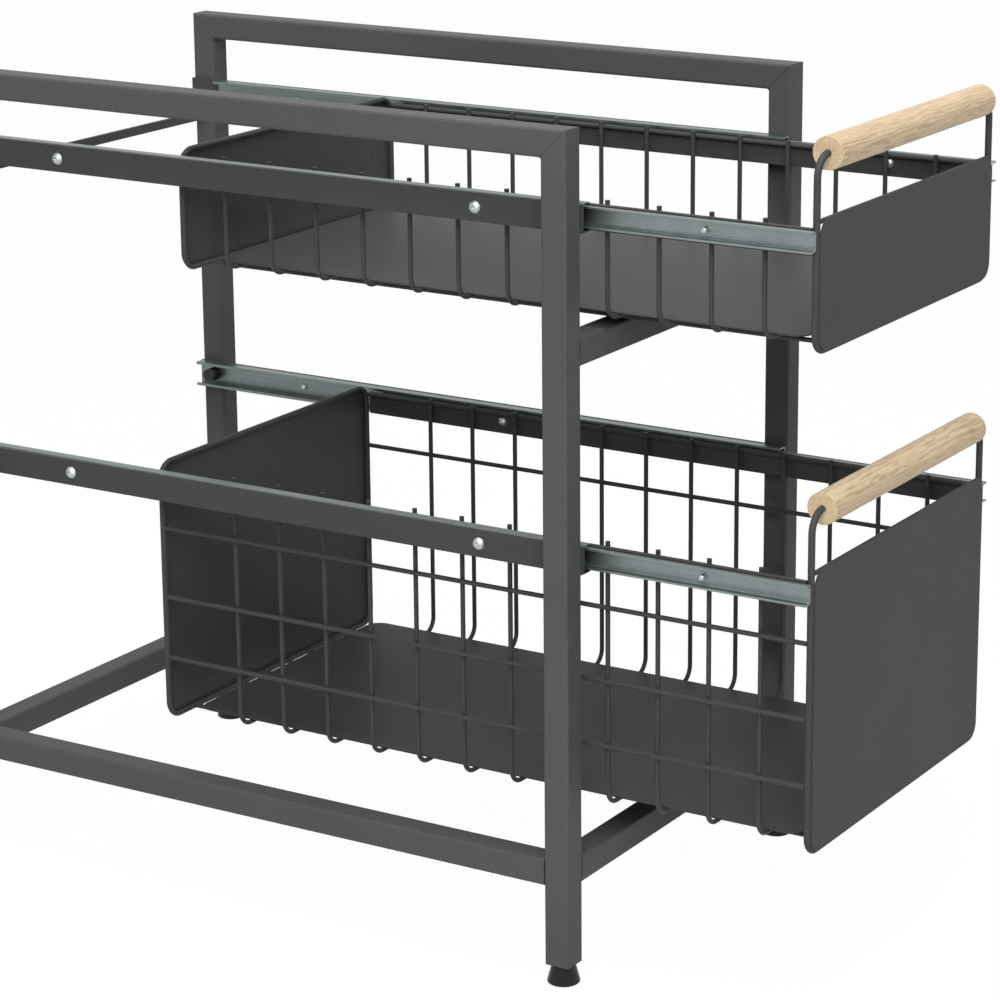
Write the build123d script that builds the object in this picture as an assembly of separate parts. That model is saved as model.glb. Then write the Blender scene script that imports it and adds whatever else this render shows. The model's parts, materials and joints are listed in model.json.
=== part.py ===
"""Pull-out cabinet organiser: a square-tube frame with two wire baskets on ball-bearing slides.

Millimetres, +Z up. The baskets pull out towards -Y. Sizes are worked out in frame coordinates,
with x = 0 on the plane of symmetry, y = 0 on the front faces of the posts and z = 0 on the floor.
Each piece is then moved so that the origin is at the bottom centre of the whole object as it
stands with both baskets part open.
"""
from build123d import *
import math
import os

# ---- frame of square tube ----
FRAME_WIDTH = 350.0
FRAME_DEPTH = 560.0
POST_LENGTH = 605.0
TUBE_SIZE = 20.0
TUBE_WALL = 1.2
TUBE_CORNER = 2.0
WELD_RADIUS = 2.5
BOTTOM_RAIL_RISE = 60.0
MIDDLE_TUBE_CLEARANCE = 6.2
TIE_BAR_HEIGHT = 7.0
TIE_BAR_THICKNESS = 3.0
TIE_BAR_BELOW_SLIDE = 24.0

# ---- feet ----
FOOT_HEIGHT = 14.8
FOOT_TOP_DIAMETER = 17.0
FOOT_BASE_DIAMETER = 24.0
FOOT_LIP = 1.6
FOOT_SEAT_GAP = 0.1
FOOT_STUD_DIAMETER = 8.0
FOOT_STUD_LENGTH = 26.0
INSERT_LENGTH = 32.0
INSERT_FIT = 0.05
THREAD_CLEARANCE = 0.08

# ---- slide rails, the flat bars that carry the slides ----
RAIL_THICKNESS = 3.0
RAIL_HEIGHT = 20.0
UPPER_SLIDE_DROP = 63.5
SLIDE_SPACING = 242.3

# ---- ball-bearing slides ----
SLIDE_DEPTH = 11.3
SLIDE_SHEET = 1.0
CABINET_HALF_HEIGHT = 10.2
CABINET_DEPTH = 9.0
CABINET_LIP = 1.2
DRAWER_MEMBER_DEPTH = 7.3
BALL_DIAMETER = 2.0
BALL_CLEARANCE = 0.05
DRAWER_TIP_CURL = 0.4
WEB_SLANT = 2.0
UPPER_CABINET_SETBACK = 28.0
LOWER_CABINET_SETBACK = 1.5
UPPER_BUMPER_DIAMETER = 6.0
UPPER_BUMPER_DROP = 3.2
LOWER_BUMPER_DIAMETER = 11.0
LOWER_BUMPER_DROP = 0.0
BUMPER_LENGTH = 9.8
BUMPER_INSET = 13.5
BUMPER_GAP = 0.4
CAGE_LENGTH = 120.0
CAGE_SHEET = 0.6
CAGE_WEB_DEPTH = 2.7
CAGE_LEG_DEPTH = 7.4
CAGE_BALLS = 6
POCKET_CLEARANCE = 0.15

# ---- screws ----
SCREW_DIAMETER = 5.0
SCREW_HEAD_DIAMETER = 9.4
SCREW_HEAD_HEIGHT = 2.6
SCREW_SOCKET = 3.0
SCREW_SOCKET_DEPTH = 1.6
SCREW_TIP_CHAMFER = 0.5
SCREW_CLEARANCE = 0.1
RAIL_SCREW_LENGTH = 5.4
RAIL_SCREW_FRONT = 85.0
RAIL_SCREW_REAR_SETBACK = 107.5
BASKET_SCREW_DIAMETER = 4.0
BASKET_SCREW_HEAD_DIAMETER = 7.6
BASKET_SCREW_HEAD_HEIGHT = 2.2
BASKET_SCREW_SOCKET = 2.5
BASKET_SCREW_SOCKET_DEPTH = 1.3
BASKET_SCREW_LENGTH = 8.0
BASKET_SCREW_FRONT = 81.2
BASKET_SCREW_REAR_SETBACK = 119.3

# ---- baskets ----
OPENING = 171.0
SIDE_BAR_THICKNESS = 2.0
SIDE_BAR_BELOW = 10.0
SIDE_BAR_ABOVE = 8.0
WIRE = 3.5
FRONT_WIRE = 5.0
REAR_WIRE = 4.0
SHEET = 1.0
CORNER_RADIUS = 12.0
HANDLE_BEND = 15.0
RIM_ABOVE = 6.3
HOOP_TOP_ABOVE = 10.4
HOOP_FIRST = 39.65
HOOP_LAST_SETBACK = 36.05
HOOP_COUNT = 12
HOOP_BEND = 12.0
FLOOR_WIRE_COUNT = 8
FLOOR_WIRE_INSET = 28.5
FLOOR_SHEET_SETBACK = 15.0
FLOOR_SHEET_CORNER = 12.0
REAR_TOP_DROP = 1.6
TOP_WIRE_DROP = 1.9
FRONT_LOOP_AHEAD = 1.65

# ---- wooden handles ----
HANDLE_DIAMETER = 23.0
HANDLE_INSET = 14.9
HANDLE_EDGE = 0.4
HANDLE_HOLE_DEPTH = 22.0
HANDLE_WIRE_INSERT = 20.0
HANDLE_HOLE_CLEARANCE = 0.05

UPPER_PANEL_ABOVE_SLIDE = 14.0
UPPER_PANEL_HEIGHT = 90.3
UPPER_HANDLE_ABOVE_PANEL = 41.7
UPPER_BASKET_SETBACK = 11.9
LOWER_PANEL_ABOVE_SLIDE = 14.6
LOWER_PANEL_CLEARANCE = 29.4
LOWER_HANDLE_ABOVE_PANEL = 40.4
LOWER_BASKET_SETBACK = 9.3
LOWER_SIDE_WIRE_SHARES = [0.747, 0.478, 0.24]

# ---- places that follow from the sizes ----
UPPER_SLIDE_RISE = POST_LENGTH - UPPER_SLIDE_DROP
LOWER_SLIDE_RISE = UPPER_SLIDE_RISE - SLIDE_SPACING
UPPER_PANEL_TOP = UPPER_SLIDE_RISE + UPPER_PANEL_ABOVE_SLIDE
UPPER_PANEL_BOTTOM = UPPER_PANEL_TOP - UPPER_PANEL_HEIGHT
LOWER_PANEL_TOP = LOWER_SLIDE_RISE + LOWER_PANEL_ABOVE_SLIDE
LOWER_PANEL_BOTTOM = BOTTOM_RAIL_RISE + TUBE_SIZE + LOWER_PANEL_CLEARANCE
LOWER_PANEL_HEIGHT = LOWER_PANEL_TOP - LOWER_PANEL_BOTTOM
MIDDLE_TUBE_RISE = UPPER_PANEL_BOTTOM - MIDDLE_TUBE_CLEARANCE - TUBE_SIZE
TIE_BAR_RISE = UPPER_SLIDE_RISE - TIE_BAR_BELOW_SLIDE
UPPER_CABINET_LENGTH = FRAME_DEPTH - UPPER_CABINET_SETBACK
LOWER_CABINET_LENGTH = FRAME_DEPTH - LOWER_CABINET_SETBACK
SIDES = {"left": -1, "right": 1}
POST_X = (FRAME_WIDTH - TUBE_SIZE) / 2
INNER_X = FRAME_WIDTH / 2 - TUBE_SIZE
SLIDE_X = INNER_X - RAIL_THICKNESS
BAR_X = SLIDE_X - SLIDE_DEPTH
LOOP_X = BAR_X - SIDE_BAR_THICKNESS - WIRE / 2
HOOP_X = LOOP_X - WIRE
LOOP_Y = -OPENING + FRONT_LOOP_AHEAD
UPPER_BASKET_LENGTH = UPPER_CABINET_LENGTH - UPPER_BASKET_SETBACK
LOWER_BASKET_LENGTH = LOWER_CABINET_LENGTH - LOWER_BASKET_SETBACK
HOOP_PITCH = (UPPER_BASKET_LENGTH - HOOP_FIRST - HOOP_LAST_SETBACK) / (HOOP_COUNT - 1)
FLOOR_WIRE_PITCH = 2 * (HOOP_X - FLOOR_WIRE_INSET) / (FLOOR_WIRE_COUNT - 1)
HANDLE_LENGTH = 2 * (LOOP_X - HANDLE_INSET)
ORIGIN_Y = (FRAME_DEPTH + LOOP_Y - HANDLE_DIAMETER / 2) / 2
BALL_LINE = CABINET_HALF_HEIGHT - SLIDE_SHEET - BALL_DIAMETER / 2
DRAWER_HALF_HEIGHT = BALL_LINE - BALL_DIAMETER / 2
BALL_DEPTH = (SLIDE_DEPTH - DRAWER_MEMBER_DEPTH + CAGE_LEG_DEPTH) / 2 + SLIDE_SHEET / 2

BASKETS = {
    "upper": {
        "slide_rise": UPPER_SLIDE_RISE,
        "cabinet_length": UPPER_CABINET_LENGTH,
        "bumper_diameter": UPPER_BUMPER_DIAMETER,
        "bumper_drop": UPPER_BUMPER_DROP,
        "length": UPPER_BASKET_LENGTH,
        "panel_bottom": UPPER_PANEL_BOTTOM,
        "panel_top": UPPER_PANEL_TOP,
        "handle_rise": UPPER_PANEL_TOP + UPPER_HANDLE_ABOVE_PANEL,
        "side_wires": [],
    },
    "lower": {
        "slide_rise": LOWER_SLIDE_RISE,
        "cabinet_length": LOWER_CABINET_LENGTH,
        "bumper_diameter": LOWER_BUMPER_DIAMETER,
        "bumper_drop": LOWER_BUMPER_DROP,
        "length": LOWER_BASKET_LENGTH,
        "panel_bottom": LOWER_PANEL_BOTTOM,
        "panel_top": LOWER_PANEL_TOP,
        "handle_rise": LOWER_PANEL_TOP + LOWER_HANDLE_ABOVE_PANEL,
        "side_wires": [
            LOWER_PANEL_BOTTOM + share * LOWER_PANEL_HEIGHT for share in LOWER_SIDE_WIRE_SHARES
        ],
    },
}


def save(name, shape):
    """Move a piece from frame coordinates to the object's origin and write it."""
    placed = Pos(0, -ORIGIN_Y, 0) * shape
    placed.label = name
    export_step(placed, os.path.join("parts", name + ".step"))


def group(pieces):
    """Several separate solids that share one name."""
    return Compound(pieces)


def block(x0, x1, y0, y1, z0, z1):
    """A box between two corners, given in any order."""
    sizes = [abs(x1 - x0), abs(y1 - y0), abs(z1 - z0)]
    return Pos((x0 + x1) / 2, (y0 + y1) / 2, (z0 + z1) / 2) * Box(*sizes)


# ---- frame ----
def tube(length):
    """Square tube along +Z from z = 0, with rounded corners and a bore."""
    outer = extrude(RectangleRounded(TUBE_SIZE, TUBE_SIZE, TUBE_CORNER), amount=length)
    bore_size = TUBE_SIZE - 2 * TUBE_WALL
    bore_corner = max(TUBE_CORNER - TUBE_WALL, TUBE_WALL / 4)
    bore = extrude(RectangleRounded(bore_size, bore_size, bore_corner), amount=length)
    return outer - bore


def mitre(x, y, z, toward_y, toward_z):
    """A block behind a slanted plane along X that faces away from (toward_y, toward_z)."""
    angle = math.degrees(math.atan2(toward_z, toward_y))
    size = 3 * TUBE_SIZE
    cutter = Pos(0, size / 2, 0) * Box(size, size, 4 * size)
    return Pos(x, y, z) * Rot(angle, 0, 0) * cutter


def post(side, y, toward_y):
    """Upright tube with a mitred top end."""
    x = side * POST_X
    upright = Pos(x, y, FOOT_HEIGHT) * tube(POST_LENGTH)
    top = FOOT_HEIGHT + POST_LENGTH - TUBE_SIZE / 2
    return upright - mitre(x, y, top, toward_y, 1)


def along_y(shape):
    """Turn a piece that runs along +Z so that it runs along +Y."""
    return Rot(-90, 0, 0) * shape


def weld(x, corner_y, corner_z, toward_y):
    """Concave weld bead in the inner corner under the top rail."""
    with BuildSketch(Plane.YZ) as bead:
        with BuildLine():
            start = (0, -WELD_RADIUS)
            end = (toward_y * WELD_RADIUS, 0)
            Line((0, 0), start)
            RadiusArc(start, end, toward_y * WELD_RADIUS)
            Line(end, (0, 0))
        make_face()
    width = TUBE_SIZE - 2 * TUBE_CORNER
    return Pos(x - width / 2, corner_y, corner_z) * extrude(bead.sketch, amount=width)


def top_rail(side):
    """Side rail at the top, mitred to both posts, with its weld beads."""
    x = side * POST_X
    z = FOOT_HEIGHT + POST_LENGTH - TUBE_SIZE / 2
    rail = Pos(x, 0, z) * along_y(tube(FRAME_DEPTH))
    rail -= mitre(x, TUBE_SIZE / 2, z, -1, -1)
    rail -= mitre(x, FRAME_DEPTH - TUBE_SIZE / 2, z, 1, -1)
    under = z - TUBE_SIZE / 2
    rail += weld(x, TUBE_SIZE, under, 1)
    rail += weld(x, FRAME_DEPTH - TUBE_SIZE, under, -1)
    return rail


def bottom_rail(side):
    """Side rail near the floor, butted between the posts."""
    z = FOOT_HEIGHT + BOTTOM_RAIL_RISE + TUBE_SIZE / 2
    return Pos(side * POST_X, TUBE_SIZE, z) * along_y(tube(FRAME_DEPTH - 2 * TUBE_SIZE))


def cross_tube(y, rise):
    """Tube across the frame between the inner faces of two posts."""
    across = Rot(0, 90, 0) * tube(2 * INNER_X)
    return Pos(-INNER_X, y, FOOT_HEIGHT + rise + TUBE_SIZE / 2) * across


def tie_bar():
    """Narrow flat bar between the rear posts, near the top."""
    y = FRAME_DEPTH - TUBE_SIZE / 2
    z = FOOT_HEIGHT + TIE_BAR_RISE
    half = TIE_BAR_THICKNESS / 2
    return block(-INNER_X, INNER_X, y - half, y + half, z, z + TIE_BAR_HEIGHT)


def screw_holes(side, rise, diameter, x_from, x_to, positions):
    """Round holes along X at the given distances back from the posts' front faces."""
    length = abs(x_to - x_from) + 2 * SLIDE_SHEET
    middle = side * (x_from + x_to) / 2
    holes = []
    for y in positions:
        hole = Rot(0, 90, 0) * Cylinder(diameter / 2 + SCREW_CLEARANCE, length)
        holes.append(Pos(middle, y, FOOT_HEIGHT + rise) * hole)
    return holes


def rail_screw_places():
    """Distances of the two rail screws from the front faces of the posts."""
    return [RAIL_SCREW_FRONT, FRAME_DEPTH - RAIL_SCREW_REAR_SETBACK]


def slide_rail(side, rise):
    """Flat bar on the inner faces of a front and a rear post, which carries one slide."""
    z = FOOT_HEIGHT + rise
    half = RAIL_HEIGHT / 2
    bar = block(side * INNER_X, side * SLIDE_X, 0, FRAME_DEPTH, z - half, z + half)
    for hole in screw_holes(side, rise, SCREW_DIAMETER, SLIDE_X, INNER_X, rail_screw_places()):
        bar -= hole
    return bar


# ---- feet ----
def foot_places():
    """Name and centre of each foot."""
    rear = FRAME_DEPTH - TUBE_SIZE / 2
    front = TUBE_SIZE / 2
    places = {}
    for side_name, side in SIDES.items():
        places["front_" + side_name] = (side * POST_X, front)
        places["rear_" + side_name] = (side * POST_X, rear)
    return places


def foot(x, y):
    """Flared levelling foot with a threaded stud."""
    base = FOOT_BASE_DIAMETER / 2
    top = FOOT_TOP_DIAMETER / 2
    seat = FOOT_HEIGHT - FOOT_SEAT_GAP
    with BuildSketch(Plane.XZ) as half:
        with BuildLine():
            Polyline(
                (0, seat),
                (0, 0),
                (base - FOOT_LIP / 2, 0),
                (base, FOOT_LIP / 2),
                (base, FOOT_LIP),
                (top, seat),
                (0, seat),
            )
        make_face()
    body = revolve(half.sketch, Axis.Z)
    stud = Pos(0, 0, seat + FOOT_STUD_LENGTH / 2)
    stud = stud * Cylinder(FOOT_STUD_DIAMETER / 2, FOOT_STUD_LENGTH)
    return Pos(x, y, 0) * (body + stud)


def foot_insert(x, y):
    """Plastic plug in a post's lower end, with the bore for the foot's stud."""
    size = TUBE_SIZE - 2 * TUBE_WALL - 2 * INSERT_FIT
    corner = TUBE_WALL
    plug = extrude(RectangleRounded(size, size, corner), amount=INSERT_LENGTH)
    plug -= Pos(0, 0, INSERT_LENGTH / 2) * Cylinder(
        FOOT_STUD_DIAMETER / 2 + THREAD_CLEARANCE, INSERT_LENGTH
    )
    return Pos(x, y, FOOT_HEIGHT) * plug


# ---- slides ----
def slide_profile(points):
    """Face with the given half outline, (depth, height) points, mirrored below the centre line."""
    below = [(depth, -height) for depth, height in reversed(points)]
    return make_face(Polyline(*points, *below, close=True))


def run_along_slide(side, rise, profile, y0, length):
    """Extrude a slide's cross-section along +Y. Depth is measured inwards from the rail."""
    plane = Plane(
        origin=(side * SLIDE_X, y0, FOOT_HEIGHT + rise),
        x_dir=(-side, 0, 0),
        z_dir=(0, 1, 0),
    )
    return extrude(plane * profile, amount=length)


def cabinet_profile():
    """C section that opens inwards, with a lip that keeps the balls in."""
    top = CABINET_HALF_HEIGHT
    under = top - SLIDE_SHEET
    return slide_profile([
        (0, top - SLIDE_SHEET),
        (SLIDE_SHEET, top),
        (CABINET_DEPTH, top),
        (CABINET_DEPTH, under - CABINET_LIP),
        (CABINET_DEPTH - SLIDE_SHEET, under - CABINET_LIP),
        (CABINET_DEPTH - SLIDE_SHEET, under),
        (SLIDE_SHEET, under),
    ])


def drawer_profile():
    """Smaller C section that opens outwards, with its web against the basket's side bar."""
    top = DRAWER_HALF_HEIGHT
    under = top - SLIDE_SHEET
    tip = SLIDE_DEPTH - DRAWER_MEMBER_DEPTH
    return slide_profile([
        (SLIDE_DEPTH, top - WEB_SLANT),
        (SLIDE_DEPTH - WEB_SLANT, top),
        (tip + SLIDE_SHEET, top),
        (tip + SLIDE_SHEET, top + DRAWER_TIP_CURL),
        (tip, top + DRAWER_TIP_CURL),
        (tip, under),
        (SLIDE_DEPTH - WEB_SLANT - SLIDE_SHEET / 2, under),
        (SLIDE_DEPTH - SLIDE_SHEET, under - WEB_SLANT + SLIDE_SHEET / 2),
    ])


def cage_profile():
    """U section of the ball cage: a web beside the cabinet member and a leg along each race."""
    outer = BALL_LINE + CAGE_SHEET / 2
    inner = BALL_LINE - CAGE_SHEET / 2
    return slide_profile([
        (CAGE_WEB_DEPTH, outer),
        (CAGE_LEG_DEPTH, outer),
        (CAGE_LEG_DEPTH, inner),
        (CAGE_WEB_DEPTH + CAGE_SHEET, inner),
    ])


def cabinet_member(side, basket):
    """Outer slide member, screwed to its rail with its front end flush with the rail's."""
    rise = basket["slide_rise"]
    member = run_along_slide(side, rise, cabinet_profile(), 0, basket["cabinet_length"])
    inner_face = SLIDE_X - SLIDE_SHEET
    for hole in screw_holes(side, rise, SCREW_DIAMETER, inner_face, SLIDE_X, rail_screw_places()):
        member -= hole
    return member


def bumper_y(basket):
    """Centre of the closing bumper, near the cabinet member's rear end."""
    return basket["cabinet_length"] - BUMPER_INSET


def bumper(side, basket):
    """Round rubber stop on the cabinet member's web, which the drawer member closes against."""
    middle = side * (SLIDE_X - SLIDE_SHEET - BUMPER_LENGTH / 2)
    disc = Rot(0, 90, 0) * Cylinder(basket["bumper_diameter"] / 2, BUMPER_LENGTH)
    z = FOOT_HEIGHT + basket["slide_rise"] - basket["bumper_drop"]
    return Pos(middle, bumper_y(basket), z) * disc


def drawer_member_length(basket):
    """Length that closes just short of the bumper, with the front ends flush."""
    return bumper_y(basket) - basket["bumper_diameter"] / 2 - BUMPER_GAP


def basket_screw_places(basket):
    """Distances of the basket's screws from the posts' front faces, as the basket stands."""
    front = -OPENING + BASKET_SCREW_FRONT
    rear = -OPENING + drawer_member_length(basket) - BASKET_SCREW_REAR_SETBACK
    return [front, rear]


def drawer_member(side, basket):
    """Inner slide member, screwed to the basket's side bar."""
    rise = basket["slide_rise"]
    length = drawer_member_length(basket)
    member = run_along_slide(side, rise, drawer_profile(), -OPENING, length)
    places = basket_screw_places(basket)
    web_face = BAR_X + SLIDE_SHEET
    for hole in screw_holes(side, rise, BASKET_SCREW_DIAMETER, BAR_X, web_face, places):
        member -= hole
    return member


def cage_start(basket):
    """Front end of the cage, centred on the length where both members overlap."""
    overlap = drawer_member_length(basket) - OPENING
    return (overlap - CAGE_LENGTH) / 2


def ball_places(side, basket):
    """Centre of each ball in one slide."""
    pitch = CAGE_LENGTH / CAGE_BALLS
    x = side * (SLIDE_X - BALL_DEPTH)
    z = FOOT_HEIGHT + basket["slide_rise"]
    places = []
    for index in range(CAGE_BALLS):
        y = cage_start(basket) + pitch * (index + 0.5)
        places.append((x, y, z + BALL_LINE))
        places.append((x, y, z - BALL_LINE))
    return places


def ball_cage(side, basket):
    """Folded strip that spaces the balls, with a round pocket for each one."""
    cage = run_along_slide(side, basket["slide_rise"], cage_profile(), cage_start(basket), CAGE_LENGTH)
    pocket = Cylinder(BALL_DIAMETER / 2 + POCKET_CLEARANCE, 3 * CAGE_SHEET)
    for place in ball_places(side, basket):
        cage -= Pos(*place) * pocket
    return cage


def balls(basket):
    """All balls of a basket's two slides."""
    ball = Sphere(BALL_DIAMETER / 2 - BALL_CLEARANCE)
    placed = []
    for side in SIDES.values():
        placed += [Pos(*place) * ball for place in ball_places(side, basket)]
    return group(placed)


# ---- screws ----
def button_screw(diameter, head_diameter, head_height, length, socket, socket_depth):
    """Domed socket screw along +X, with the underside of its head on the YZ plane."""
    radius = head_diameter / 2
    with BuildSketch(Plane.XY) as half:
        with BuildLine():
            Polyline((0, 0), (length, 0), (length, diameter / 2 - SCREW_TIP_CHAMFER))
            Line((length, diameter / 2 - SCREW_TIP_CHAMFER), (length - SCREW_TIP_CHAMFER, diameter / 2))
            Polyline((length - SCREW_TIP_CHAMFER, diameter / 2), (0, diameter / 2), (0, radius))
            ThreePointArc((0, radius), (-0.72 * head_height, 0.68 * radius), (-head_height, 0.3 * radius))
            Polyline((-head_height, 0.3 * radius), (-head_height, 0), (0, 0))
        make_face()
    screw = revolve(half.sketch, Axis.X)
    recess = extrude(Plane.YZ * RegularPolygon(socket / math.sqrt(3), 6), amount=socket_depth)
    return screw - Pos(-head_height, 0, 0) * recess


def facing(side, piece):
    """Turn a screw that points to +X so that it points from the given side to the middle."""
    return Rot(0, 0, 180) * piece if side > 0 else piece


def rail_screws():
    """The screws that hold the cabinet members to their rails, heads on the outside."""
    screw = button_screw(
        SCREW_DIAMETER,
        SCREW_HEAD_DIAMETER,
        SCREW_HEAD_HEIGHT,
        RAIL_SCREW_LENGTH,
        SCREW_SOCKET,
        SCREW_SOCKET_DEPTH,
    )
    placed = []
    for basket in BASKETS.values():
        for side in SIDES.values():
            for y in rail_screw_places():
                place = Pos(side * INNER_X, y, FOOT_HEIGHT + basket["slide_rise"])
                placed.append(place * facing(side, screw))
    return group(placed)


def basket_screws(basket):
    """The screws that hold the drawer members to the side bars, heads inside the basket."""
    screw = button_screw(
        BASKET_SCREW_DIAMETER,
        BASKET_SCREW_HEAD_DIAMETER,
        BASKET_SCREW_HEAD_HEIGHT,
        BASKET_SCREW_LENGTH,
        BASKET_SCREW_SOCKET,
        BASKET_SCREW_SOCKET_DEPTH,
    )
    placed = []
    for side in SIDES.values():
        for y in basket_screw_places(basket):
            inner_face = side * (BAR_X - SIDE_BAR_THICKNESS)
            place = Pos(inner_face, y, FOOT_HEIGHT + basket["slide_rise"])
            placed.append(place * facing(-side, screw))
    return group(placed)


# ---- baskets ----
def rear_loop_y(basket):
    """Centre line of the rear wire loop."""
    return LOOP_Y + basket["length"]


def straight_wire(start, end, diameter):
    """Round wire between two points."""
    path = Line(start, end)
    section = Plane(origin=start, z_dir=path % 0) * Circle(diameter / 2)
    return sweep(section, path=path)


def bent_wire(points, radii, diameter):
    """Round wire along straight runs joined by tangent bends."""
    path = FilletPolyline(*points, radius=radii)
    section = Plane(origin=path @ 0, z_dir=path % 0) * Circle(diameter / 2)
    return sweep(section, path=path)


def rounded_panel(y, z0, z1, half_width, radius):
    """Upright sheet with rounded corners; y is its front face."""
    height = z1 - z0
    middle = FOOT_HEIGHT + (z0 + z1) / 2
    plane = Plane(origin=(0, y, middle), x_dir=(1, 0, 0), z_dir=(0, -1, 0))
    return extrude(plane * RectangleRounded(2 * half_width, height, radius), amount=-SHEET)


def front_panel(basket):
    """Front sheet, welded on the front of the wire frame."""
    y = LOOP_Y - FRONT_WIRE / 2 - SHEET
    return rounded_panel(y, basket["panel_bottom"], basket["panel_top"], LOOP_X, CORNER_RADIUS)


def rear_panel(basket):
    """Rear sheet, welded behind the rear loop."""
    y = rear_loop_y(basket) + REAR_WIRE / 2
    top = basket["panel_top"] - REAR_TOP_DROP
    return rounded_panel(y, basket["panel_bottom"], top, LOOP_X, CORNER_RADIUS)


def front_frame(basket):
    """Thick wire round the front panel, which rises at both sides and turns into the handle."""
    bottom = FOOT_HEIGHT + basket["panel_bottom"]
    top = FOOT_HEIGHT + basket["handle_rise"]
    end = HANDLE_LENGTH / 2 - HANDLE_WIRE_INSERT
    points = [
        (-end, LOOP_Y, top),
        (-LOOP_X, LOOP_Y, top),
        (-LOOP_X, LOOP_Y, bottom),
        (LOOP_X, LOOP_Y, bottom),
        (LOOP_X, LOOP_Y, top),
        (end, LOOP_Y, top),
    ]
    return bent_wire(points, [HANDLE_BEND, CORNER_RADIUS, CORNER_RADIUS, HANDLE_BEND], FRONT_WIRE)


def front_top_wire(basket):
    """Thin wire behind the front panel's top edge, between the legs of the wire frame."""
    half = LOOP_X - FRONT_WIRE / 2
    y = LOOP_Y - FRONT_WIRE / 2 + WIRE / 2
    z = FOOT_HEIGHT + basket["panel_top"] - TOP_WIRE_DROP
    return straight_wire((-half, y, z), (half, y, z), WIRE)


def rear_loop(basket):
    """Closed wire loop on the front of the rear panel."""
    y = rear_loop_y(basket)
    bottom = basket["panel_bottom"]
    top = basket["panel_top"] - REAR_TOP_DROP
    middle = FOOT_HEIGHT + (bottom + top) / 2
    plane = Plane(origin=(0, y, middle), x_dir=(1, 0, 0), z_dir=(0, -1, 0))
    outline = plane * RectangleRounded(2 * LOOP_X, top - bottom, CORNER_RADIUS)
    path = outline.wire()
    section = Plane(origin=path @ 0, z_dir=path % 0) * Circle(REAR_WIRE / 2)
    return sweep(section, path=path)


def handle(basket):
    """Round wooden grip with a blind hole in each end for the wire frame."""
    radius = HANDLE_DIAMETER / 2
    grip = Rot(0, 90, 0) * Cylinder(radius, HANDLE_LENGTH)
    grip = chamfer(grip.edges().filter_by(GeomType.CIRCLE), HANDLE_EDGE)
    hole = Cylinder(FRONT_WIRE / 2 + HANDLE_HOLE_CLEARANCE, HANDLE_HOLE_DEPTH)
    middle = (HANDLE_LENGTH - HANDLE_HOLE_DEPTH) / 2
    for side in SIDES.values():
        grip -= Pos(side * middle, 0, 0) * Rot(0, 90, 0) * hole
    return Pos(0, LOOP_Y, FOOT_HEIGHT + basket["handle_rise"]) * grip


def side_bars(basket):
    """Flat bars along both sides, which the drawer members are screwed to."""
    front = LOOP_Y + FRONT_WIRE / 2
    rear = rear_loop_y(basket) - REAR_WIRE / 2
    z = FOOT_HEIGHT + basket["slide_rise"]
    places = basket_screw_places(basket)
    bars = []
    for side in SIDES.values():
        inner = BAR_X - SIDE_BAR_THICKNESS
        bar = block(side * BAR_X, side * inner, front, rear, z - SIDE_BAR_BELOW, z + SIDE_BAR_ABOVE)
        for hole in screw_holes(side, basket["slide_rise"], BASKET_SCREW_DIAMETER, inner, BAR_X, places):
            bar -= hole
        bars.append(bar)
    return group(bars)


def side_wires(basket):
    """Rim wire and lengthwise wires on both sides, butted between the front and rear loops."""
    front = LOOP_Y + FRONT_WIRE / 2
    rear = rear_loop_y(basket) - REAR_WIRE / 2
    rises = [basket["slide_rise"] + RIM_ABOVE] + basket["side_wires"]
    wires = []
    for side in SIDES.values():
        for rise in rises:
            z = FOOT_HEIGHT + rise
            wires.append(straight_wire((side * LOOP_X, front, z), (side * LOOP_X, rear, z), WIRE))
    return group(wires)


def floor_wires(basket):
    """Lengthwise wires under the hoops, butted between the bottoms of the two loops."""
    front = LOOP_Y + FRONT_WIRE / 2
    rear = rear_loop_y(basket) - REAR_WIRE / 2
    z = FOOT_HEIGHT + basket["panel_bottom"]
    wires = []
    for index in range(FLOOR_WIRE_COUNT):
        x = (index - (FLOOR_WIRE_COUNT - 1) / 2) * FLOOR_WIRE_PITCH
        wires.append(straight_wire((x, front, z), (x, rear, z), WIRE))
    return group(wires)


def hoops(basket):
    """U-shaped cross wires: down one side, under the floor sheet and up the other side."""
    top = FOOT_HEIGHT + basket["slide_rise"] + HOOP_TOP_ABOVE
    bottom = FOOT_HEIGHT + basket["panel_bottom"] + WIRE
    wires = []
    for index in range(HOOP_COUNT):
        y = LOOP_Y + HOOP_FIRST + index * HOOP_PITCH
        points = [(-HOOP_X, y, top), (-HOOP_X, y, bottom), (HOOP_X, y, bottom), (HOOP_X, y, top)]
        wires.append(bent_wire(points, [HOOP_BEND, HOOP_BEND], WIRE))
    return group(wires)


def floor_sheet(basket):
    """Bottom sheet that lies on the hoops, inside their bends."""
    front = LOOP_Y + FLOOR_SHEET_SETBACK
    rear = rear_loop_y(basket) - FLOOR_SHEET_SETBACK
    half_width = HOOP_X - HOOP_BEND
    z = FOOT_HEIGHT + basket["panel_bottom"] + WIRE * 1.5
    outline = RectangleRounded(2 * half_width, rear - front, FLOOR_SHEET_CORNER)
    return Pos(0, (front + rear) / 2, z) * extrude(outline, amount=SHEET)


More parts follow.
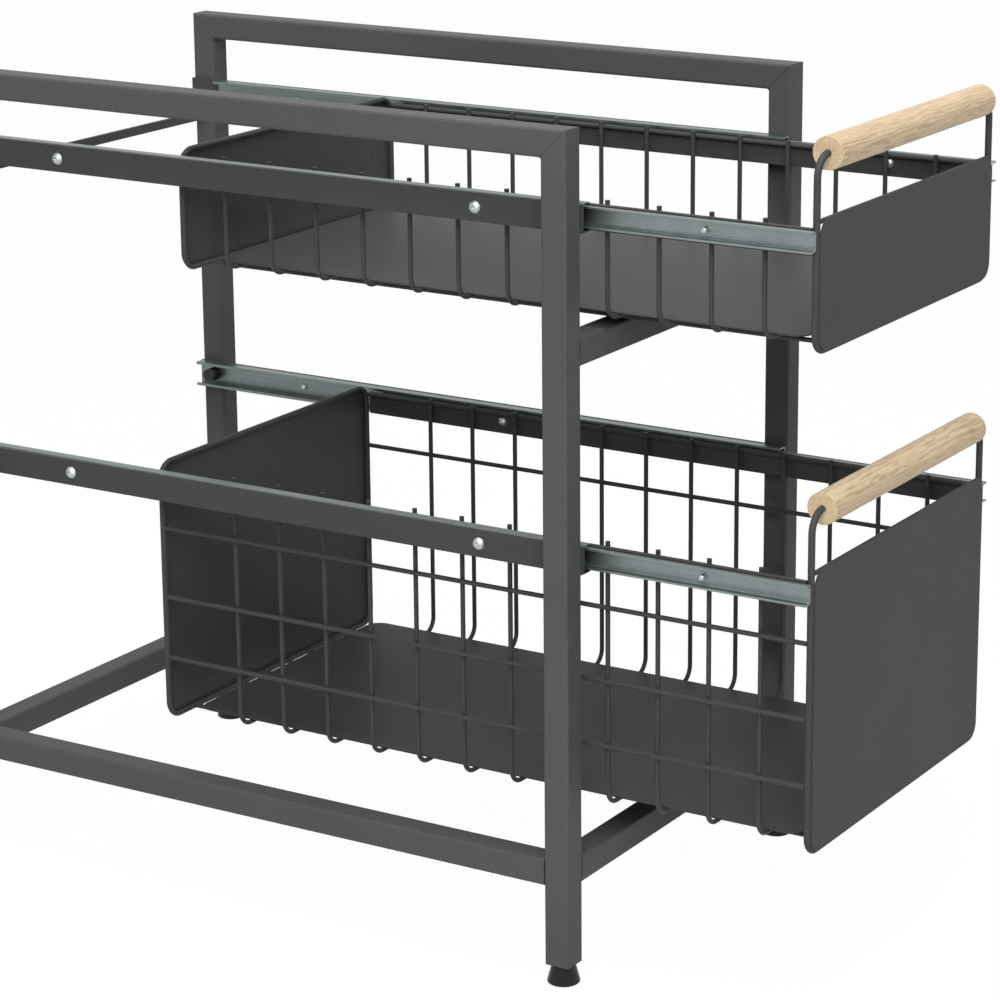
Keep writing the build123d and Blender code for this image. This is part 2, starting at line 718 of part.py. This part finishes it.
def write_frame():
    """Write the tubes, rails, feet and screws of the frame."""
    rear_y = FRAME_DEPTH - TUBE_SIZE / 2
    for name, side in SIDES.items():
        save("post_front_" + name, post(side, TUBE_SIZE / 2, 1))
        save("post_rear_" + name, post(side, rear_y, -1))
        save("top_rail_" + name, top_rail(side))
        save("bottom_rail_" + name, bottom_rail(side))
        save("upper_slide_rail_" + name, slide_rail(side, UPPER_SLIDE_RISE))
        save("lower_slide_rail_" + name, slide_rail(side, LOWER_SLIDE_RISE))
    save("cross_tube_bottom_front", cross_tube(TUBE_SIZE / 2, BOTTOM_RAIL_RISE))
    save("cross_tube_bottom_rear", cross_tube(rear_y, BOTTOM_RAIL_RISE))
    save("cross_tube_middle_front", cross_tube(TUBE_SIZE / 2, MIDDLE_TUBE_RISE))
    save("tie_bar_rear", tie_bar())
    places = foot_places()
    for name, place in places.items():
        save("foot_" + name, foot(*place))
    save("foot_inserts", group([foot_insert(*place) for place in places.values()]))
    save("rail_screws", rail_screws())


def write_slides():
    """Write the slide members, cages, balls and bumpers."""
    for level, basket in BASKETS.items():
        for name, side in SIDES.items():
            save(f"{level}_cabinet_member_{name}", cabinet_member(side, basket))
            save(f"{level}_drawer_member_{name}", drawer_member(side, basket))
        save(level + "_ball_cages", group([ball_cage(side, basket) for side in SIDES.values()]))
        save(level + "_balls", balls(basket))
    pairs = [(side, basket) for basket in BASKETS.values() for side in SIDES.values()]
    save("closing_bumpers", group([bumper(side, basket) for side, basket in pairs]))


def write_baskets():
    """Write the sheets, wires, handles and screws of both baskets."""
    makers = {
        "front_panel": front_panel,
        "rear_panel": rear_panel,
        "floor_sheet": floor_sheet,
        "front_frame": front_frame,
        "front_top_wire": front_top_wire,
        "rear_loop": rear_loop,
        "side_bars": side_bars,
        "side_wires": side_wires,
        "floor_wires": floor_wires,
        "hoops": hoops,
        "handle": handle,
        "basket_screws": basket_screws,
    }
    for level, basket in BASKETS.items():
        for name, maker in makers.items():
            save(f"{level}_{name}", maker(basket))


os.makedirs("parts", exist_ok=True)
write_frame()
write_slides()
write_baskets()
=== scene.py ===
"""Studio scene of the pull-out cabinet organiser. Metres, +Z up, baskets pull out towards -Y."""

import json
import math

import bpy
import mathutils
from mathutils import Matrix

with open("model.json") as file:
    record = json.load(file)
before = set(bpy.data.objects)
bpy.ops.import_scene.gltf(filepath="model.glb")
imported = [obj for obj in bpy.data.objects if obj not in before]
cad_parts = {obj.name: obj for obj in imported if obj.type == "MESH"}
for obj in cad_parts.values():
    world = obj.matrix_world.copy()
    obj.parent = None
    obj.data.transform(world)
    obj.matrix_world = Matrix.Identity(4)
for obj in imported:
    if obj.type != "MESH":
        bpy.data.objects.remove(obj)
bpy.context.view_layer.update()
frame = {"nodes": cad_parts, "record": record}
nodes = frame["nodes"]

# ---- camera, in the row frame ----
CAMERA_PLACE = (-2.052395, -1.320043, 1.003737)
CAMERA_YAW = math.radians(30.382)
CAMERA_PITCH = math.radians(14.88)
CAMERA_ROLL = math.radians(-0.066)
CAMERA_LENS = 119.73
CAMERA_SHIFT = (-0.1039, -0.0814)
CAMERA_SENSOR = 36
CAMERA_REACH = 100

# ---- studio ----
FLOOR_RADIUS = 40
FLOOR_CORNERS = 96
FLOOR_DROP = 0.0002       # the feet stand this far above the floor
FLOOR_GLOW = 0.975        # share of plain white where the floor shows as background
WORLD_STRENGTH = 0.24     # on the object
WORLD_GLOW = 1.0          # where the world shows as background
BACKGROUND_RAYS = ("Is Camera Ray", "Is Glossy Ray", "Is Transmission Ray")
LIGHT_TARGET = (0, 0, 0.3)
KEY_LIGHT_PLACE = (-2.5, -1.5, 2.4)
KEY_LIGHT_SIZE = (1.8, 1.8)
KEY_LIGHT_POWER = 110
TOP_LIGHT_PLACE = (-0.5, -0.4, 3.2)
TOP_LIGHT_SIZE = (2.2, 2.2)
TOP_LIGHT_POWER = 106

# ---- finishes, with texture scales along X, Y and Z ----
EVEN = (1, 1, 1)
LINES_ALONG_Y = (900, 9, 900)
NO_LINES = (900, 900, 900)
RING_STRETCH = (0.11, 1, 1)
CLOUD_SCALE = (9, 60, 60)
FIBRE_SCALE = (22, 700, 700)
PORE_SCALE = (45, 1100, 1100)
TUBE_SOFT_EDGE = 0.0018   # rounds the square tubes off
BASKET_SOFT_EDGE = 0.0005
STEEL_SOFT_EDGE = 0.0003
PLAIN_SOFT_EDGE = 0.0004
UPPER_GRAIN_PLACE = (0.0, 0.33, -0.625)   # where each handle was cut from the log
LOWER_GRAIN_PLACE = (0.31, 0.345, -0.35)
OUTER_MEMBERS = [
    f"{level}_cabinet_member_{side}" for level in ("upper", "lower") for side in ("left", "right")
]
TUBE_NAME_STARTS = ("post_", "top_rail_", "bottom_rail_", "cross_tube_")


def make_camera():
    """Camera at the photograph's angle."""
    flat = math.cos(CAMERA_PITCH)
    look = mathutils.Vector((
        math.cos(CAMERA_YAW) * flat, math.sin(CAMERA_YAW) * flat, -math.sin(CAMERA_PITCH)
    ))
    level = look.cross(mathutils.Vector((0, 0, 1))).normalized()
    up = level.cross(look)
    right = level * math.cos(CAMERA_ROLL) + up * math.sin(CAMERA_ROLL)
    up = right.cross(look)
    turn = mathutils.Matrix((right, up, -look)).transposed().to_4x4()
    data = bpy.data.cameras.new("photo_camera")
    data.sensor_width = CAMERA_SENSOR
    data.lens = CAMERA_LENS
    data.shift_x, data.shift_y = CAMERA_SHIFT
    data.clip_end = CAMERA_REACH
    camera = bpy.data.objects.new("photo_camera", data)
    camera.matrix_world = mathutils.Matrix.Translation(CAMERA_PLACE) @ turn
    bpy.context.scene.collection.objects.link(camera)
    bpy.context.scene.camera = camera


# ---- procedural materials ----
def grey(value):
    return (value, value, value)


def span(tree, source, low, high):
    """Map 0..1 to low..high."""
    node = tree.nodes.new("ShaderNodeMapRange")
    node.inputs["To Min"].default_value = low
    node.inputs["To Max"].default_value = high
    tree.links.new(source, node.inputs["Value"])
    return node.outputs["Result"]


class Shader:
    """A new material with short ways to add its nodes."""

    def __init__(self, name):
        self.material = bpy.data.materials.new(name)
        self.material.use_nodes = True
        self.tree = self.material.node_tree
        self.surface = self.tree.nodes["Principled BSDF"]
        self.coords = self.tree.nodes.new("ShaderNodeTexCoord")

    def link(self, source, target):
        self.tree.links.new(source, target)

    def feed(self, source, name):
        """Lead a node's output into the named input of the surface."""
        self.link(source, self.surface.inputs[name])

    def roughness(self, source, smooth, rough):
        """Roughness that wanders between two values."""
        self.feed(span(self.tree, source, smooth, rough), "Roughness")

    def set(self, **values):
        for name, value in values.items():
            self.surface.inputs[name.replace("_", " ")].default_value = value

    def mapped(self, scale, place=(0, 0, 0)):
        """Object coordinates scaled along each axis."""
        node = self.tree.nodes.new("ShaderNodeMapping")
        node.inputs["Scale"].default_value = scale
        node.inputs["Location"].default_value = place
        self.link(self.coords.outputs["Object"], node.inputs["Vector"])
        return node.outputs["Vector"]

    def noise(self, vector, scale=1.0, detail=3.0):
        node = self.tree.nodes.new("ShaderNodeTexNoise")
        node.inputs["Scale"].default_value = scale
        node.inputs["Detail"].default_value = detail
        node.inputs["Roughness"].default_value = 0.6
        self.link(vector, node.inputs["Vector"])
        return node.outputs["Fac"]

    def rings(self, vector, scale, distortion):
        """Growth rings about the X axis."""
        node = self.tree.nodes.new("ShaderNodeTexWave")
        node.wave_type = "RINGS"
        node.rings_direction = "X"
        node.inputs["Scale"].default_value = scale
        node.inputs["Distortion"].default_value = distortion
        node.inputs["Detail"].default_value = 3
        node.inputs["Detail Scale"].default_value = 1.1
        self.link(vector, node.inputs["Vector"])
        return node.outputs["Fac"]

    def ramp(self, source, stops):
        """Grey or colour ramp from (place, colour) stops."""
        node = self.tree.nodes.new("ShaderNodeValToRGB")
        elements = node.color_ramp.elements
        for index, (place, colour) in enumerate(stops):
            element = elements[index] if index < 2 else elements.new(place)
            element.position = place
            element.color = (*colour, 1.0)
        self.link(source, node.inputs["Fac"])
        return node.outputs["Color"]

    def multiply(self, first, second, share=1.0):
        """Darken the first colour by the second."""
        node = self.tree.nodes.new("ShaderNodeMix")
        node.data_type = "RGBA"
        node.blend_type = "MULTIPLY"
        node.inputs["Factor"].default_value = share
        self.link(first, node.inputs["A"])
        self.link(second, node.inputs["B"])
        return node.outputs["Result"]

    def bump(self, height, strength, distance, soft_edge=0.0):
        """Bump from a height, on normals that round the edges off by soft_edge metres."""
        node = self.tree.nodes.new("ShaderNodeBump")
        node.inputs["Strength"].default_value = strength
        node.inputs["Distance"].default_value = distance
        self.link(height, node.inputs["Height"])
        if soft_edge:
            edge = self.tree.nodes.new("ShaderNodeBevel")
            edge.samples = 4
            edge.inputs["Radius"].default_value = soft_edge
            self.link(edge.outputs["Normal"], node.inputs["Normal"])
        self.feed(node.outputs["Normal"], "Normal")


def coat_material(name, dark, light, soft_edge):
    """Dark powder coat with a fine orange-peel grain."""
    shader = Shader(name)
    fine = shader.noise(shader.mapped(EVEN), scale=1400)
    broad = shader.noise(shader.mapped(EVEN), scale=9, detail=2)
    speckle = shader.ramp(fine, [(0.3, grey(dark)), (0.75, grey(light))])
    wash = shader.ramp(broad, [(0.3, grey(0.90)), (0.7, grey(1.0))])
    shader.feed(shader.multiply(speckle, wash), "Base Color")
    shader.roughness(fine, 0.42, 0.62)
    shader.set(Specular_IOR_Level=0.10)
    shader.bump(fine, strength=0.35, distance=0.0002, soft_edge=soft_edge)
    return shader.material


def steel_material(name, dark, light, smooth, rough, stretch):
    """Zinc-plated steel, with faint rolling lines along the axis that stretch scales least."""
    shader = Shader(name)
    lines = shader.noise(shader.mapped(stretch))
    cloud = shader.noise(shader.mapped(EVEN), scale=60)
    tone = shader.ramp(lines, [(0.25, dark), (0.8, light)])
    wash = shader.ramp(cloud, [(0.3, grey(0.86)), (0.7, grey(1.0))])
    shader.feed(shader.multiply(tone, wash), "Base Color")
    shader.roughness(cloud, smooth, rough)
    shader.set(Metallic=1.0)
    shader.bump(lines, strength=0.06, distance=0.0001, soft_edge=STEEL_SOFT_EDGE)
    return shader.material


def wood_material(name, place):
    """Lacquered light hardwood whose fibres run along X, with rings and pores."""
    shader = Shader(name)
    rings = shader.rings(shader.mapped(RING_STRETCH, place), scale=230, distortion=9.0)
    wander = shader.noise(shader.mapped(CLOUD_SCALE, place))
    fibres = shader.noise(shader.mapped(FIBRE_SCALE, place), detail=4)
    pores = shader.noise(shader.mapped(PORE_SCALE, place), detail=2)
    growth = shader.ramp(
        rings, [(0.0, (0.37, 0.273, 0.17)), (0.35, (0.46, 0.361, 0.238)), (1.0, (0.505, 0.404, 0.275))]
    )
    thread = shader.ramp(fibres, [(0.34, (0.80, 0.755, 0.70)), (0.58, grey(1.0))])
    shade = shader.ramp(wander, [(0.3, (0.92, 0.90, 0.87)), (0.7, grey(1.0))])
    flecks = shader.ramp(pores, [(0.27, (0.55, 0.47, 0.40)), (0.36, grey(1.0))])
    colour = shader.multiply(shader.multiply(growth, thread), shade)
    shader.feed(shader.multiply(colour, flecks, share=0.8), "Base Color")
    shader.roughness(fibres, 0.38, 0.58)
    shader.set(Specular_IOR_Level=0.2)
    shader.bump(fibres, strength=0.2, distance=0.0002)
    return shader.material


def plain_material(name, colour, smooth, rough, scale, metallic=0.0):
    """Simple moulded or polished surface with a faint grain."""
    shader = Shader(name)
    grain = shader.noise(shader.mapped(EVEN), scale=scale)
    darker = tuple(part * 0.8 for part in colour)
    shader.feed(shader.ramp(grain, [(0.3, darker), (0.7, colour)]), "Base Color")
    shader.roughness(grain, smooth, rough)
    shader.set(Metallic=metallic, Specular_IOR_Level=0.2)
    shader.bump(grain, strength=0.1, distance=0.0001, soft_edge=PLAIN_SOFT_EDGE)
    return shader.material


def finishes():
    """Materials by node name, or else by the node's slot."""
    outer_steel = steel_material(
        "zinc_outer_member_steel", (0.15, 0.18, 0.18), (0.23, 0.27, 0.265), 0.32, 0.46, LINES_ALONG_Y
    )
    slide_steel = steel_material(
        "zinc_slide_steel", (0.235, 0.272, 0.272), (0.29, 0.334, 0.33), 0.36, 0.46, LINES_ALONG_Y
    )
    screw_steel = steel_material(
        "zinc_screw_steel", (0.46, 0.50, 0.50), (0.60, 0.64, 0.635), 0.42, 0.54, NO_LINES
    )
    # the frame tubes and the baskets share one dark powder coat; this tube copy is painted lighter, as
    # painted light on the tubes
    tube_coat = coat_material("tube_coat_painted_light", 0.040, 0.086, TUBE_SOFT_EDGE)
    tube_names = [name for name in nodes if name.startswith(TUBE_NAME_STARTS)]
    return {
        **{name: outer_steel for name in OUTER_MEMBERS},
        **{name: tube_coat for name in tube_names},
        # this basket copy of the same powder coat is painted darker, as painted shade inside the
        # baskets
        "dark_coat": coat_material("basket_coat_painted_shade", 0.025, 0.061, BASKET_SOFT_EDGE),
        "slide_steel": slide_steel,
        "zinc_screws": screw_steel,
        "ball_steel": plain_material("polished_ball_steel", (0.8, 0.8, 0.82), 0.08, 0.16, 300, 1.0),
        "upper_handle": wood_material("upper_grip_wood", UPPER_GRAIN_PLACE),
        "lower_handle": wood_material("lower_grip_wood", LOWER_GRAIN_PLACE),
        "foot_plastic": plain_material("gloss_black_plastic", (0.009, 0.0095, 0.010), 0.16, 0.26, 500),
        "insert_plastic": plain_material("matt_black_plastic", grey(0.03), 0.5, 0.65, 900),
        "bumper_rubber": plain_material("bumper_black_rubber", grey(0.022), 0.55, 0.75, 900),
    }


def dress():
    """Give each CAD node its own material, or else that of its slot."""
    materials = finishes()
    slots = {part["node"]: part["material_slot"] for part in frame["record"]["subparts"]}
    for name, node in nodes.items():
        node.data.materials.clear()
        node.data.materials.append(materials.get(name) or materials[slots[name]])


# ---- studio ----
def area_light(name, place, size, power):
    data = bpy.data.lights.new(name, "AREA")
    data.shape = "RECTANGLE"
    data.size, data.size_y = size
    data.energy = power
    light = bpy.data.objects.new(name, data)
    aim = mathutils.Vector(LIGHT_TARGET) - mathutils.Vector(place)
    light.location = place
    light.rotation_euler = aim.to_track_quat("-Z", "Y").to_euler()
    bpy.context.scene.collection.objects.link(light)


def background_share(tree, low, high):
    """Low for rays that light the object, and high for those that show the background."""
    path = tree.nodes.new("ShaderNodeLightPath")
    share = path.outputs[BACKGROUND_RAYS[0]]
    for kind in BACKGROUND_RAYS[1:]:
        most = tree.nodes.new("ShaderNodeMath")
        most.operation = "MAXIMUM"
        tree.links.new(share, most.inputs[0])
        tree.links.new(path.outputs[kind], most.inputs[1])
        share = most.outputs["Value"]
    return span(tree, share, low, high)


def paper_material():
    """Pale paper that shows as almost plain white and takes the light as paper does."""
    shader = Shader("studio_paper")
    paper = shader.noise(shader.mapped(EVEN), scale=3, detail=2)
    shader.feed(shader.ramp(paper, [(0.0, grey(0.90)), (1.0, grey(0.93))]), "Base Color")
    shader.set(Roughness=1.0, Specular_IOR_Level=0.0)
    glow = shader.tree.nodes.new("ShaderNodeEmission")
    blend = shader.tree.nodes.new("ShaderNodeMixShader")
    shader.link(background_share(shader.tree, 0.0, FLOOR_GLOW), blend.inputs[0])
    shader.link(shader.surface.outputs["BSDF"], blend.inputs[1])
    shader.link(glow.outputs["Emission"], blend.inputs[2])
    shader.link(blend.outputs["Shader"], shader.tree.nodes["Material Output"].inputs["Surface"])
    return shader.material


def studio():
    """Pale floor, white surroundings and soft lights."""
    bpy.ops.mesh.primitive_circle_add(vertices=FLOOR_CORNERS, radius=FLOOR_RADIUS, fill_type="NGON")
    floor = bpy.context.object
    floor.name = "studio_floor"
    floor.location = (0, 0, -FLOOR_DROP)
    floor.data.materials.append(paper_material())
    world = bpy.data.worlds.new("studio_white")
    bpy.context.scene.world = world
    world.use_nodes = True
    backdrop = world.node_tree.nodes["Background"]
    backdrop.inputs["Color"].default_value = (1.0, 1.0, 1.0, 1.0)
    strength = background_share(world.node_tree, WORLD_STRENGTH, WORLD_GLOW)
    world.node_tree.links.new(strength, backdrop.inputs["Strength"])
    area_light("key_light", KEY_LIGHT_PLACE, KEY_LIGHT_SIZE, KEY_LIGHT_POWER)
    area_light("top_light", TOP_LIGHT_PLACE, TOP_LIGHT_SIZE, TOP_LIGHT_POWER)
    bpy.context.scene.view_settings.view_transform = "Standard"


make_camera()
studio()
dress()
